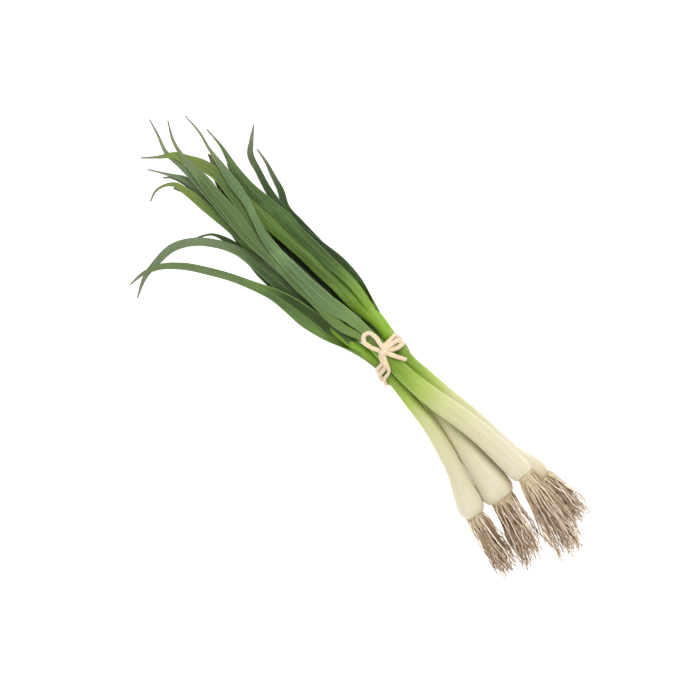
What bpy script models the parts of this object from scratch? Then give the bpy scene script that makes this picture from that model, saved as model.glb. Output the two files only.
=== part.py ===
"""A tied bunch of four spring onions with their roots, lying on a flat surface.

Metres, +Z up. +X runs along the bunch from the roots to the leaf tips, and +Y is the side where two leaves
curl away. The origin is on the resting surface, in the middle of the bunch's footprint. The dimensions below
are in millimetres and are measured from the tie: x along the bunch, y across it, z above the surface.
"""

import math
import random

import bpy
import numpy as np

MM = 0.001
ORIGIN_X = 25.9  # the footprint's middle, measured from the tie
ORIGIN_Y = 25.5
GAP = 0.35  # left between pieces that touch
CURVE_SAMPLES = 24  # taken between two points of a smooth path

# Each shank's axis, from the root end to where its last leaf parts: x, y, z and the radius there.
SHANKS = {
    "a": [
        (-129, 38.3, 9.0, 8.2), (-126, 37.3, 9.6, 9.8), (-119, 34.2, 9.8, 10.1), (-111, 31.1, 9.5, 9.0),
        (-101, 27.0, 10.2, 7.4), (-82, 20.7, 12.8, 6.5), (-60, 15.2, 14.1, 5.8), (-34, 11.8, 14.8, 5.2),
        (-14, 9.4, 15.3, 5.0), (0, 8.3, 15.3, 5.0), (22, 12, 14.6, 4.6), (58, 17, 12.0, 1.6),
    ],
    "b": [
        (-134, 14.6, 11.8, 11.4), (-131, 14.1, 12.0, 12.5), (-121, 11.5, 11.8, 12.3), (-108, 9.3, 11.0, 11.1),
        (-95, 7.4, 10.0, 9.7), (-78, 4.9, 8.7, 8.1), (-58, 2.9, 7.9, 6.6), (-34, 1.3, 7.7, 5.5),
        (0, 0.3, 7.7, 4.8), (22, 0.3, 7.4, 4.5), (58, 1.5, 6.0, 1.6),
    ],
    "c": [
        (-133, -8.9, 27.4, 7.6), (-130, -9.0, 27.4, 8.5), (-122, -9.0, 27.3, 8.8), (-110, -8.8, 26.9, 8.6),
        (-92, -8.2, 26.2, 8.1), (-74, -6.3, 25.8, 7.9), (-50, -2.2, 25.3, 7.6), (-34, -0.2, 25.2, 7.1),
        (-16, 1.0, 24.5, 6.3), (0, 1.0, 24.2, 6.1), (22, 0.4, 24.0, 5.7), (62, 0.5, 23.5, 1.8),
    ],
    "d": [
        (-145, -17.2, 8.6, 8.2), (-142, -16.6, 9.0, 9.5), (-135, -15.4, 9.2, 9.7), (-118, -12.8, 9.0, 8.7),
        (-98, -12.2, 9.3, 8.0), (-76, -12.0, 10.8, 7.1), (-49, -10.0, 12.8, 6.1), (-29, -8.8, 14.4, 5.6),
        (-14, -8.0, 15.5, 5.3), (0, -9.2, 15.9, 5.2), (24, -13.4, 16.0, 5.0), (72, -20.5, 13.0, 1.6),
    ],
}
SHANK_SAMPLES = 200  # points taken along a shank's axis
SHANK_END_SAMPLES = 5  # how many of them give the direction at its end
SHANK_SIDES = 14
SHANK_RINGS = 18
SHANK_RINGS_CROWD = 1.5  # more puts more of the rings at the bulb

# Each leaf: its onion; its layer in the pile, 0 lowest; the x where it parts from the shank; where its midrib
# starts round the shank, in degrees from the top towards +y; the face that turns up, 1 back or -1 inner;
# the depth of its fold; and the plan points that its midrib passes, each with the blade's width there.
LEAVES = [
    ("a", 6, 14, 95, -1, 3.2, [
        (34, 15.5, 14), (50, 19.5, 15), (63, 22.5, 15.5), (78, 24.5, 13.5), (94, 28, 9.5), (108, 33.5, 7),
        (125, 41, 6), (142, 50.5, 6), (159, 62, 5.5), (171, 75, 4.5), (176, 87, 3), (177, 100, 1),
    ]),
    ("a", 5, 24, -40, 1, 1.4, [
        (50, 13.5, 11), (90, 18, 12), (117, 20.5, 10), (137, 24, 7), (153, 32, 6.5), (166, 43, 6.5),
        (174, 57, 6.5), (175, 73, 5.5), (173, 88, 3.5), (166, 103, 1),
    ]),
    ("a", 4, 20, 60, 1, 1.5, [
        (42, 10.5, 11), (76, 14, 11), (110, 16, 10), (138, 15, 8), (152, 15.5, 7), (164, 16.5, 7), (179, 18, 7),
        (190, 18.8, 6.5), (200, 20.5, 5), (206, 22, 4), (211, 27, 2.5), (213.4, 37, 1.8), (210.6, 44.5, 1),
    ]),
    ("a", 3, 28, 150, -1, 1.2, [
        (50, 15, 9), (75, 19, 10), (110, 22.5, 9), (136, 22, 6), (150, 24.5, 4), (160, 29, 2), (166, 38.5, 1.6),
        (171, 56, 1),
    ]),
    ("b", 0, 16, 110, -1, 1.0, [
        (36, 7, 14), (63, 15, 16), (90, 20, 15), (112, 19.5, 13), (130, 18, 13), (144, 14.5, 11), (167, 14, 10),
        (185, 17, 7), (198, 20.5, 4), (206, 25, 1),
    ]),
    ("b", 2, 24, 20, 1, 1.2, [
        (48, 2, 12), (75, 4, 12), (112, 6, 12), (144, 9, 11), (170, 11, 9), (190, 12, 7.5), (204, 14.2, 5),
        (216, 20.5, 2.2), (229.5, 28.7, 1),
    ]),
    ("b", 1, 20, 170, -1, 1.0, [
        (45, 4.5, 12), (74, 8, 12), (111, 11, 12), (143, 12, 11), (170, 13, 8), (190, 14, 6), (205, 16.5, 4),
        (213, 20.5, 2), (217, 25, 1),
    ]),
    ("b", 0, 28, -100, -1, 1.0, [
        (45, -4, 13), (67, -5, 14), (98, -4, 14), (125, -4.5, 13), (148, -4.5, 13.5), (169, -4.5, 14),
        (180, -4.5, 12.5), (190, -7, 8.5), (198, -9.7, 3.5), (205, -11.8, 1),
    ]),
    ("b", 1, -4, -60, 1, 1.0, [
        (20, -3, 13), (44, -7.5, 15), (62, -10.5, 15.5), (90, -12, 14), (120, -12, 13), (150, -13, 11),
        (174, -14.5, 8), (190, -17, 1),
    ]),
    ("c", 10, 16, -35, 1, 2.2, [
        (36, 2, 11), (50, 3.5, 11.5), (68, 4.4, 11.5), (82, 4.8, 10), (97, 4.7, 9), (115, 4.2, 8),
        (131, 2.2, 6), (143, -1.8, 5), (159, -7, 6), (175, -9.6, 7), (184, -11.3, 6), (207, -15.3, 2.5),
        (221, -18.8, 1.8), (237, -19.9, 1),
    ]),
    ("c", 9, 20, 50, 1, 1.6, [
        (42, 6, 9), (53, 8.4, 8), (63, 9.3, 8), (74, 9.3, 8), (85, 9.5, 9), (97, 9.2, 8), (109, 9.5, 8),
        (121, 10.5, 8), (143, 9.9, 10), (163, 7.2, 10), (178, 6.4, 9.5), (190, 5, 9), (204, 4, 6.5),
        (218, 2.8, 3.5), (229, 0, 2.4), (243.5, -8, 1),
    ]),
    ("c", 8, 26, -120, -1, 1.4, [
        (48, 3, 10), (75, 5, 9), (103, 5, 8), (128, 3, 9), (150, -1, 10), (170, -4.5, 10), (190, -5.5, 9),
        (203, -2, 9), (212, 2.5, 8), (221, 6.5, 5.5), (229.5, 16.5, 2.5), (238.7, 26.4, 1),
    ]),
    ("c", 7, 30, 140, -1, 1.4, [
        (52, 5, 10), (74, 8, 9), (109, 10, 9), (141, 11, 9), (170, 9.5, 8), (198, 8.5, 6), (214, 9, 4.5),
        (228, 9.7, 3.2), (241, 5, 2), (254.5, 0.9, 1),
    ]),
    ("d", 6, 34, -20, 1, 2.0, [
        (62, -18.5, 8), (80, -18.8, 8.5), (100, -18.5, 9), (116, -17.8, 9.5), (130, -18.5, 10),
        (143, -17.5, 9.5), (164, -16, 8.5), (184, -18.5, 6), (202, -23, 2.5), (219, -24.5, 1),
    ]),
    ("d", 5, 20, 60, 1, 1.6, [
        (40, -12.3, 11), (56, -12, 11.5), (80, -11.3, 12), (100, -11, 12), (120, -9.5, 11.5), (131, -8.7, 11.5),
        (145, -9, 10), (160, -10, 8), (175, -11, 6), (190, -11.5, 4), (205, -12, 1),
    ]),
    ("d", 4, 26, -85, -1, 1.4, [
        (47, -19, 10), (72, -23.5, 10.5), (98, -21.5, 9.5), (122, -20, 8), (140, -22, 7), (154, -25, 5.5),
        (168.5, -29.5, 5), (182.7, -34.7, 5), (189, -42, 3.5), (196.5, -52, 1),
    ]),
    ("d", 3, 30, -150, -1, 1.2, [
        (50, -17, 10), (75, -20, 10), (98, -21.5, 10), (120, -22.5, 9), (134, -24.5, 6.5), (148, -31.8, 5),
        (157, -34.5, 4), (169.7, -38.6, 2.5), (182, -41, 1),
    ]),
]
LEAF_THICKNESS = 0.7
LEAF_STEPS = 19
LEAF_STRIPS = 4
LEAF_ROOTED = 14  # how far a leaf starts inside its shank, before it parts
LEAF_OPENS = 50  # the length in which a leaf unrolls from a sheath to a blade
LEAF_LOOSENS = 1.6  # how much wider its curl becomes meanwhile
LEAF_ROLLED_SHARE = 0.86  # of its width, how wide a leaf is while it is rolled
FIRST_LAYER = 0.36  # height of the lowest layer's middle surface
LAYER_PITCH = 2.9
LAYER_PITCH_AT_TIPS = 1.3
PITCH_NARROWS = (90, 255)  # the x range in which the layers close up
PILE_HALF_WIDTH = 36
PILE_SIDE_DROP = 0.72
PILE_MIDDLE_Y = 2.0

# Each root tuft's end point, and its half width across and half height there.
TUFTS = {
    "a": ((-181, 50, 10.0), 11.5, 8.0),
    "b": ((-188, 30, 10.5), 13.0, 9.0),
    "c": ((-203, 5.5, 23.0), 15.0, 8.5),
    "d": ((-193, -16.5, 9.5), 13.5, 8.0),
}
ROOTS_PER_TUFT = 30
ROOT_STEPS = 4
ROOT_RADIUS = 0.75
ROOT_TIP_RADIUS = 0.3
ROOT_SPREAD = 0.5  # lower spreads a tuft sooner after the plate
ROOT_LENGTHS = (0.8, 1.0)  # shares of the way to the tuft's end
ROOT_WAVE = 0.7
ROOT_WAVE_TURNS = (9, 8)  # radians over the way to the tuft's end, across and up
ROOT_LOWEST = 1.0  # a root's axis keeps this height above the surface
ROOTED_SHARE = 0.72  # of the bulb end's radius, how far out the outermost root starts
PLATE_THICKNESS = 3.2
PLATE_TOP_SHARE = 0.95  # the plate's radius against the bulb and at its end, as shares of the bulb end's
PLATE_END_SHARE = 0.7
ROOT_SUNK = 1.9  # how far from the bulb a root starts, inside the plate

CORD_HALF_WIDTH = 1.7
CORD_HALF_HEIGHT = 0.9
CORD_SIDES = 6
# The two turns round the bunch: the x of each over the top, and how far they lean towards the roots below and
# at the +y side.
BAND_TOPS = (4.1, 7.7)
BAND_LEAN_BELOW = 9.0
BAND_LEAN_ASIDE = 4.5
BAND_STEPS = 28
KNOT = (5.8, 0.4, 32.8)
KNOT_HALF_SIZE = (3.7, 3.3, 2.1)
KNOT_ROWS = 4
KNOT_SIDES = 10
# The bow's two loops and its short end, as the points that the cord passes.
BOW = {
    "long_loop": [(6.5, -0.8, 33.9), (12, -2.0, 34.6), (19, -3.0, 35.6), (23.6, -1.6, 36.0), (24.6, 2.0, 35.8),
                  (21.5, 5.4, 35.0), (15, 4.6, 34.0), (10, 2.6, 32.6), (6, 0.8, 31.6)],
    "side_loop": [(5.8, -0.4, 33.9), (6.4, -5.0, 34.0), (5.4, -10.0, 31.6), (3.4, -13.8, 28.6), (0.4, -14.2, 27.0),
                  (0.4, -10.6, 28.4), (2.0, -6.0, 30.8), (4.6, -1.4, 31.6)],
    "right_end": [(5.6, 0.4, 32.8), (1.0, -1.8, 33.2), (-3.5, -4.0, 32.6), (-7.0, -5.8, 30.6), (-10.2, -7.4, 28.2)],
}
BOW_STEPS = {"long_loop": 22, "side_loop": 18, "right_end": 8}
# The two ends that hang over the side of the bunch: each point's x, turn round the bunch from the top, and lift.
HANGING_ENDS = {
    "left_end": [(5.4, 0, 2.0), (1.5, 24, 2.6), (-2.5, 48, 2.4), (-6.0, 72, 2.2), (-9.0, 96, 2.2)],
    "left_ply": [(5.6, 4, 1.6), (-1.5, 26, 2.0), (-6.5, 46, 1.8), (-10.6, 66, 1.6), (-14.0, 86, 1.6)],
}
HANGING_STEPS = 10
HANGING_HALF_WIDTH = 1.4

COLOURS = {
    "leafy_stem": (0.22, 0.36, 0.10, 1),
    "roots": (0.42, 0.31, 0.21, 1),
    "twine": (0.82, 0.66, 0.46, 1),
}
ROUGHNESS = {"leafy_stem": 0.45, "roots": 0.85, "twine": 0.8}


def smooth_step(low, high, value):
    share = min(1.0, max(0.0, (value - low) / (high - low)))
    return share * share * (3 - 2 * share)


def smooth_path(points, count):
    """count points, evenly spaced by length, on a smooth curve through the given points."""
    points = np.asarray(points, float)
    gaps = np.linalg.norm(np.diff(points[:, :3], axis=0), axis=1)
    slopes = np.diff(points, axis=0) / gaps[:, None]
    tangents = np.vstack([
        slopes[:1],
        (slopes[:-1] * gaps[1:, None] + slopes[1:] * gaps[:-1, None]) / (gaps[1:] + gaps[:-1])[:, None],
        slopes[-1:],
    ])
    dense = []
    for i, gap in enumerate(gaps):
        for t in np.linspace(0, 1, CURVE_SAMPLES, endpoint=False):
            dense.append(
                (2 * t**3 - 3 * t**2 + 1) * points[i]
                + (t**3 - 2 * t**2 + t) * gap * tangents[i]
                + (3 * t**2 - 2 * t**3) * points[i + 1]
                + (t**3 - t**2) * gap * tangents[i + 1]
            )
    dense = np.array(dense + [points[-1]])
    along = np.concatenate([[0], np.cumsum(np.linalg.norm(np.diff(dense[:, :3], axis=0), axis=1))])
    wanted = np.linspace(0, along[-1], count)
    return np.column_stack([np.interp(wanted, along, dense[:, k]) for k in range(dense.shape[1])])


def leaf_path(points, count):
    """Plan points with widths, evenly spaced by the length in plan."""
    points = np.array(points, float)
    level = np.insert(points, 2, 0, axis=1)
    return np.delete(smooth_path(level, count), 2, axis=1)


def unit(vector):
    return vector / np.linalg.norm(vector)


def frames_along(path):
    """The side and up directions at each point of a path, the side kept level."""
    tangents = np.gradient(path[:, :3], axis=0)
    for tangent in tangents:
        forward = unit(tangent)
        side = unit(np.cross((0, 0, 1), forward))
        yield side, np.cross(forward, side)


def add_object(name, points, faces):
    """A mesh object from points in millimetres from the tie."""
    placed = (np.asarray(points, float) - (ORIGIN_X, ORIGIN_Y, 0)) * MM
    mesh = bpy.data.meshes.new(name)
    mesh.from_pydata(placed.tolist(), [], faces)
    mesh.validate()
    obj = bpy.data.objects.new(name, mesh)
    bpy.context.scene.collection.objects.link(obj)
    return obj


def make_material(name, kind):
    made = bpy.data.materials.new(name)
    made.use_nodes = True
    shader = made.node_tree.nodes["Principled BSDF"]
    shader.inputs["Base Color"].default_value = COLOURS[kind]
    shader.inputs["Roughness"].default_value = ROUGHNESS[kind]
    shader.inputs["Metallic"].default_value = 0.0
    return made


def tube_faces(rings, sides, closed=False):
    """Faces between rings of points, outward where each ring turns from up towards the side."""
    faces = []
    for i in range(rings if closed else rings - 1):
        a, b = i * sides, (i + 1) % rings * sides
        for j in range(sides):
            k = (j + 1) % sides
            faces.append((a + j, b + j, b + k, a + k))
    if not closed:
        faces.append(tuple(range(sides)))
        faces.append(tuple((rings - 1) * sides + j for j in reversed(range(sides))))
    return faces


def fuse(name, pieces, kind):
    """One object from overlapping pieces, by one Boolean union on a collection."""
    base, others = pieces[0], pieces[1:]
    group = bpy.data.collections.new(name + "_pieces")
    bpy.context.scene.collection.children.link(group)
    for piece in others:
        bpy.context.scene.collection.objects.unlink(piece)
        group.objects.link(piece)
    union = base.modifiers.new("union", "BOOLEAN")
    union.operation = "UNION"
    union.solver = "MANIFOLD"
    union.operand_type = "COLLECTION"
    union.collection = group
    graph = bpy.context.evaluated_depsgraph_get()
    fused = bpy.data.meshes.new_from_object(base.evaluated_get(graph))
    base.modifiers.clear()
    base.data = fused
    base.data.materials.append(make_material(name, kind))
    base.name = name
    for piece in others:
        bpy.data.objects.remove(piece)
    bpy.data.collections.remove(group)
    return base


def shank_path(onion):
    return smooth_path(SHANKS[onion], SHANK_SAMPLES)


def shank_at(onion, x):
    """The axis point and radius of a shank at x, carried straight on past its end."""
    path = shank_path(onion)
    end, before = path[-1], path[-1 - SHANK_END_SAMPLES]
    if x > end[0]:
        return end + (end - before) * (x - end[0]) / (end[0] - before[0])
    return np.array([np.interp(x, path[:, 0], path[:, k]) for k in range(4)])


def make_shank(onion):
    """The white bulb and the shank above it, which narrows inside the leaves; pressed flat where it rests."""
    path = shank_path(onion)
    along = np.linspace(0, 1, SHANK_RINGS) ** SHANK_RINGS_CROWD
    rings = path[np.round(along * (len(path) - 1)).astype(int)]
    points = []
    for (x, y, z, radius), (side, up) in zip(rings, frames_along(rings), strict=True):
        for k in range(SHANK_SIDES):
            angle = 2 * math.pi * (k + 0.5) / SHANK_SIDES
            points.append(np.array((x, y, z)) + radius * (math.sin(angle) * side + math.cos(angle) * up))
    points = np.array(points)
    points[:, 2] = np.maximum(points[:, 2], 0)
    return add_object(onion + "_shank", points, tube_faces(len(rings), SHANK_SIDES))


def layer_height(x, y, layer):
    """Height of a leaf layer. Layers lie on each other, closer together towards the tips and the sides."""
    closing = smooth_step(*PITCH_NARROWS, x)
    pitch = LAYER_PITCH + (LAYER_PITCH_AT_TIPS - LAYER_PITCH) * closing
    aside = ((y - PILE_MIDDLE_Y) / PILE_HALF_WIDTH) ** 2
    return FIRST_LAYER + layer * pitch * (1 - PILE_SIDE_DROP * aside / (1 + aside))


def leaf_surface(leaf, steps, strips):
    """Rows of points across a leaf's middle surface, from inside its shank to its tip."""
    onion, layer, parts_at, start_angle, face, fold, plan = leaf
    on_shank = [(*shank_at(onion, x)[:2], plan[0][2]) for x in (parts_at - LEAF_ROOTED, parts_at)]
    path = leaf_path(on_shank + plan, steps)
    widest = max(width for x, y, width in plan)
    length = np.concatenate([[0], np.cumsum(np.linalg.norm(np.diff(path[:, :2], axis=0), axis=1))])
    turn = math.radians(start_angle)
    wrap_radius = shank_at(onion, parts_at)[3] - LEAF_THICKNESS / 2
    directions = np.gradient(path[:, :2], axis=0)
    rows = []
    for (x, y, width), direction, along in zip(path, directions, length, strict=True):
        opened = smooth_step(LEAF_ROOTED, LEAF_ROOTED + LEAF_OPENS, along)
        half = width * (LEAF_ROLLED_SHARE + (1 - LEAF_ROLLED_SHARE) * opened) / 2
        across = np.array((-direction[1], direction[0])) / np.linalg.norm(direction)
        axis_height = shank_at(onion, x)[2]
        radius = wrap_radius * (1 + LEAF_LOOSENS * opened)
        row = []
        for j in range(strips + 1):
            offset = (2 * j / strips - 1) * half
            flat_xy = (x, y) + across * offset
            rise = -face * fold * opened * abs(offset) / (widest / 2)
            flat = np.array((*flat_xy, layer_height(*flat_xy, layer) + rise))
            angle = turn + face * offset / radius
            side_shift, lift = radius * math.sin(angle), radius * math.cos(angle)
            rolled = np.array((*((x, y) + across * side_shift), axis_height + lift))
            row.append(rolled + (flat - rolled) * opened)
        rows.append(row)
    rows = np.array(rows)
    rows[:, :, 2] = np.maximum(rows[:, :, 2], FIRST_LAYER)
    return rows


def make_leaf(leaf, number):
    """A blade of even thickness, both faces split into triangles alike."""
    middle = leaf_surface(leaf, LEAF_STEPS, LEAF_STRIPS)
    along = np.gradient(middle, axis=0)
    across = np.gradient(middle, axis=1)
    normals = np.cross(along, across)
    normals /= np.linalg.norm(normals, axis=2)[:, :, None]
    rows, columns = middle.shape[:2]
    top = (middle + normals * LEAF_THICKNESS / 2).reshape(-1, 3)
    bottom = (middle - normals * LEAF_THICKNESS / 2).reshape(-1, 3)
    under = rows * columns
    faces = []
    for i in range(rows - 1):
        for j in range(columns - 1):
            a, b = i * columns + j, (i + 1) * columns + j
            faces += [(a, b, b + 1), (a, b + 1, a + 1)]
            faces += [(under + a, under + b + 1, under + b), (under + a, under + a + 1, under + b + 1)]
        for j, turned in ((0, True), (columns - 1, False)):
            a, b = i * columns + j, (i + 1) * columns + j
            edge = (a, b, under + b, under + a)
            faces.append(tuple(reversed(edge)) if turned else edge)
    for i, turned in ((0, False), (rows - 1, True)):
        for j in range(columns - 1):
            a = i * columns + j
            edge = (a, a + 1, under + a + 1, under + a)
            faces.append(tuple(reversed(edge)) if turned else edge)
    return add_object(f"{leaf[0]}_leaf_{number}", np.vstack([top, bottom]), faces)


def make_leafy_stem(onion):
    leaves = [leaf for leaf in LEAVES if leaf[0] == onion]
    blades = [make_leaf(leaf, number) for number, leaf in enumerate(leaves, 1)]
    return fuse(f"onion_{onion}_leafy_stem", [make_shank(onion), *blades], "leafy_stem")


def root_end(onion):
    """The bulb's root end: its centre, radius, and the directions outward, across and up there."""
    path = shank_path(onion)
    outward = unit(path[0, :3] - path[SHANK_END_SAMPLES, :3])
    side = unit(np.cross((0, 0, 1), -outward))
    return path[0, :3], path[0, 3], outward, side, np.cross(-outward, side)


def make_plate(onion):
    """The hard disc under the bulb, from which the roots grow."""
    start, radius, outward, side, up = root_end(onion)
    points = []
    for depth, share in ((0, PLATE_TOP_SHARE), (PLATE_THICKNESS, PLATE_END_SHARE)):
        for k in range(SHANK_SIDES):
            angle = 2 * math.pi * k / SHANK_SIDES
            around = math.sin(angle) * side + math.cos(angle) * up
            points.append(start + outward * (GAP + depth) + radius * share * around)
    faces = [tuple(reversed(face)) for face in tube_faces(2, SHANK_SIDES)]
    return add_object(onion + "_plate", points, faces)


def make_root(onion, number, draw):
    """One root: three-sided, wavy and tapered, from inside the plate to the tuft's end."""
    bulb_end, radius, outward, side, up = root_end(onion)
    start = bulb_end + outward * (GAP + ROOT_SUNK)
    end, half_width, half_height = TUFTS[onion]
    reach = math.sqrt((number + 0.5) / ROOTS_PER_TUFT)
    turn = number * math.pi * (3 - math.sqrt(5))
    on_plate = radius * ROOTED_SHARE * (math.cos(turn) * side + math.sin(turn) * up)
    at_end = np.array((0, half_width * math.cos(turn), half_height * math.sin(turn)))
    length = draw.uniform(*ROOT_LENGTHS)
    phase = draw.uniform(0, 2 * math.pi)
    points = []
    for t in np.linspace(0, length, ROOT_STEPS + 1):
        opening = t**ROOT_SPREAD
        offset = reach * (on_plate * (1 - opening) + at_end * opening)
        across, rise = (turns * t + phase for turns in ROOT_WAVE_TURNS)
        wave = ROOT_WAVE * t * np.array((0, math.sin(across), math.cos(rise)))
        points.append(start + (np.array(end) - start) * t + offset + wave)
    points = np.array(points)
    points[1:, 2] = np.maximum(points[1:, 2], ROOT_LOWEST)
    rings = []
    for i, (point, (side, up)) in enumerate(zip(points, frames_along(points), strict=True)):
        thick = ROOT_RADIUS + (ROOT_TIP_RADIUS - ROOT_RADIUS) * i / ROOT_STEPS
        for k in range(3):
            angle = 2 * math.pi * k / 3 + phase
            rings.append(point + thick * (math.sin(angle) * side + math.cos(angle) * up))
    return add_object(f"{onion}_root_{number}", rings, tube_faces(ROOT_STEPS + 1, 3))


def make_roots(onion):
    draw = random.Random(onion)
    roots = [make_root(onion, number, draw) for number in range(ROOTS_PER_TUFT)]
    return fuse(f"onion_{onion}_roots", [make_plate(onion), *roots], "roots")


def cord_tube(name, path, closed=False, half_width=CORD_HALF_WIDTH):
    """A flattened cord along a path, its broad side kept level across the path."""
    points = []
    ends = path[[-1, *range(len(path)), 0]] if closed else None
    tangents = ends[2:] - ends[:-2] if closed else np.gradient(path, axis=0)
    for point, tangent in zip(path, tangents, strict=True):
        forward = unit(tangent)
        side = unit(np.cross((1, 0, 0) if closed else (0, 0, 1), forward))
        up = np.cross(forward, side)
        wide, thin = (up, side) if closed else (side, up)
        for k in range(CORD_SIDES):
            angle = 2 * math.pi * (k + 0.5) / CORD_SIDES
            thin_part = CORD_HALF_HEIGHT * math.cos(angle) * thin
            points.append(point + half_width * math.sin(angle) * wide + thin_part)
    faces = tube_faces(len(path), CORD_SIDES, closed)
    if closed:
        faces = [tuple(reversed(face)) for face in faces]
    return add_object(name, points, faces)


def wrap_point(x, turn, lift):
    """A point round the bunch, turned from the top towards +y: on the hull of the shanks, a gap and lift away."""
    out = np.array((0, math.sin(turn), math.cos(turn)))
    stems = [shank_at(onion, x) for onion in SHANKS]
    stem = max(stems, key=lambda stem: stem[1] * out[1] + stem[2] * out[2] + stem[3])
    return np.array((x, stem[1], stem[2])) + out * (stem[3] + GAP + lift)


def band_path(top):
    """A turn of cord pulled tight round the four shanks, leaning along the bunch as it goes round."""
    points = []
    for k in range(BAND_STEPS):
        turn = 2 * math.pi * k / BAND_STEPS
        x = top - BAND_LEAN_BELOW * (1 - math.cos(turn)) - BAND_LEAN_ASIDE * math.sin(turn)
        points.append(wrap_point(x, turn, CORD_HALF_HEIGHT))
    return np.array(points)


def make_knot():
    """The flattened lump where the cord is tied."""
    points = [np.array(KNOT) + (0, 0, KNOT_HALF_SIZE[2])]
    rows, sides = KNOT_ROWS, KNOT_SIDES
    for i in range(1, rows):
        polar = math.pi * i / rows
        for k in range(sides):
            angle = 2 * math.pi * k / sides
            direction = (
                math.sin(polar) * math.cos(angle), math.sin(polar) * math.sin(angle), math.cos(polar)
            )
            points.append(np.array(KNOT) + np.array(KNOT_HALF_SIZE) * direction)
    points.append(np.array(KNOT) - (0, 0, KNOT_HALF_SIZE[2]))
    faces = []
    last = len(points) - 1
    for k in range(sides):
        m = (k + 1) % sides
        faces.append((0, 1 + k, 1 + m))
        for i in range(rows - 2):
            a, b = 1 + i * sides, 1 + (i + 1) * sides
            faces.append((a + k, b + k, b + m, a + m))
        low = 1 + (rows - 2) * sides
        faces.append((low + k, last, low + m))
    return add_object("knot", points, faces)


def make_twine():
    pieces = [make_knot()]
    pieces += [cord_tube(f"band_{k}", band_path(top), closed=True) for k, top in enumerate(BAND_TOPS)]
    for name, route in BOW.items():
        pieces.append(cord_tube(name, smooth_path(route, BOW_STEPS[name])))
    for name, route in HANGING_ENDS.items():
        points = [wrap_point(x, math.radians(turn), lift) for x, turn, lift in route]
        pieces.append(cord_tube(name, smooth_path(points, HANGING_STEPS), half_width=HANGING_HALF_WIDTH))
    return fuse("twine_tie", pieces, "twine")


def main():
    for obj in list(bpy.data.objects):
        bpy.data.objects.remove(obj)
    for onion in SHANKS:
        make_leafy_stem(onion)
        make_roots(onion)
    make_twine()


main()
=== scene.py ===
import math
import random

import bpy
import numpy as np
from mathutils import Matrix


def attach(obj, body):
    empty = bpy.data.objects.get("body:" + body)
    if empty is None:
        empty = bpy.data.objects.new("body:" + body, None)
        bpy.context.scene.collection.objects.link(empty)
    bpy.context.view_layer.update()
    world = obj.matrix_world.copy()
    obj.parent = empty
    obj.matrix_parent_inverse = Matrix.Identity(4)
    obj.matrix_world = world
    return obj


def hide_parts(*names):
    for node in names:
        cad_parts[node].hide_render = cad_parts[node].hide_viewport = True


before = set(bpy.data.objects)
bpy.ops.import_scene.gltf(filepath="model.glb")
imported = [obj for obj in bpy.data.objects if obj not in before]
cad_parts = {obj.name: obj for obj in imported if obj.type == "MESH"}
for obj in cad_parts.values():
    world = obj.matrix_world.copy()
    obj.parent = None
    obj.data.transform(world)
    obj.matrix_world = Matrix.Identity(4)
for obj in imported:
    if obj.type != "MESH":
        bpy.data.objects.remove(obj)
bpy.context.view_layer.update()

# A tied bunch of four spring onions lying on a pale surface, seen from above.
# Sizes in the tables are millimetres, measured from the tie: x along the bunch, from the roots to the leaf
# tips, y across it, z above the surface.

MM = 0.001
ORIGIN_X = 25.9  # the footprint's middle, measured from the tie
ORIGIN_Y = 25.5
GAP = 0.35  # the clearance of a root plate from its bulb, and of the twine from the shanks
FULL_TURN = 2 * math.pi
GOLDEN_ANGLE = math.pi * (3 - math.sqrt(5))
PATH_STEPS = 40  # from each point of a path to the next, before it is spaced evenly
ANY_PHASE = (0, 6.3)  # the range that the phases of waves are drawn from, about one turn

# Each shank's axis, from the root end to where its last leaf parts: x, y, z and the radius there.
SHANKS = {
    "a": [
        (-129, 38.3, 9.0, 8.2), (-126, 37.3, 9.6, 9.8), (-119, 34.2, 9.8, 10.1), (-111, 31.1, 9.5, 9.0),
        (-101, 27.0, 10.2, 7.4), (-82, 20.7, 12.8, 6.5), (-60, 15.2, 14.1, 5.8), (-34, 11.8, 14.8, 5.2),
        (-14, 9.4, 15.3, 5.0), (0, 8.3, 15.3, 5.0), (22, 12, 14.6, 4.6), (58, 17, 12.0, 1.6),
    ],
    "b": [
        (-134, 14.6, 11.8, 11.4), (-131, 14.1, 12.0, 12.5), (-121, 11.5, 11.8, 12.3), (-108, 9.3, 11.0, 11.1),
        (-95, 7.4, 10.0, 9.7), (-78, 4.9, 8.7, 8.1), (-58, 2.9, 7.9, 6.6), (-34, 1.3, 7.7, 5.5),
        (0, 0.3, 7.7, 4.8), (22, 0.3, 7.4, 4.5), (58, 1.5, 6.0, 1.6),
    ],
    "c": [
        (-133, -8.9, 27.4, 7.6), (-130, -9.0, 27.4, 8.5), (-122, -9.0, 27.3, 8.8), (-110, -8.8, 26.9, 8.6),
        (-92, -8.2, 26.2, 8.1), (-74, -6.3, 25.8, 7.9), (-50, -2.2, 25.3, 7.6), (-34, -0.2, 25.2, 7.1),
        (-16, 1.0, 24.5, 6.3), (0, 1.0, 24.2, 6.1), (22, 0.4, 24.0, 5.7), (62, 0.5, 23.5, 1.8),
    ],
    "d": [
        (-145, -17.2, 8.6, 8.2), (-142, -16.6, 9.0, 9.5), (-135, -15.4, 9.2, 9.7), (-118, -12.8, 9.0, 8.7),
        (-98, -12.2, 9.3, 8.0), (-76, -12.0, 10.8, 7.1), (-49, -10.0, 12.8, 6.1), (-29, -8.8, 14.4, 5.6),
        (-14, -8.0, 15.5, 5.3), (0, -9.2, 15.9, 5.2), (24, -13.4, 16.0, 5.0), (72, -20.5, 13.0, 1.6),
    ],
}
SHANK_SAMPLES = 400  # points on each shank's path; every second one gets a ring of the mesh
SHANK_END_SAMPLES = 20  # how many of them give a shank's direction past its end
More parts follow.
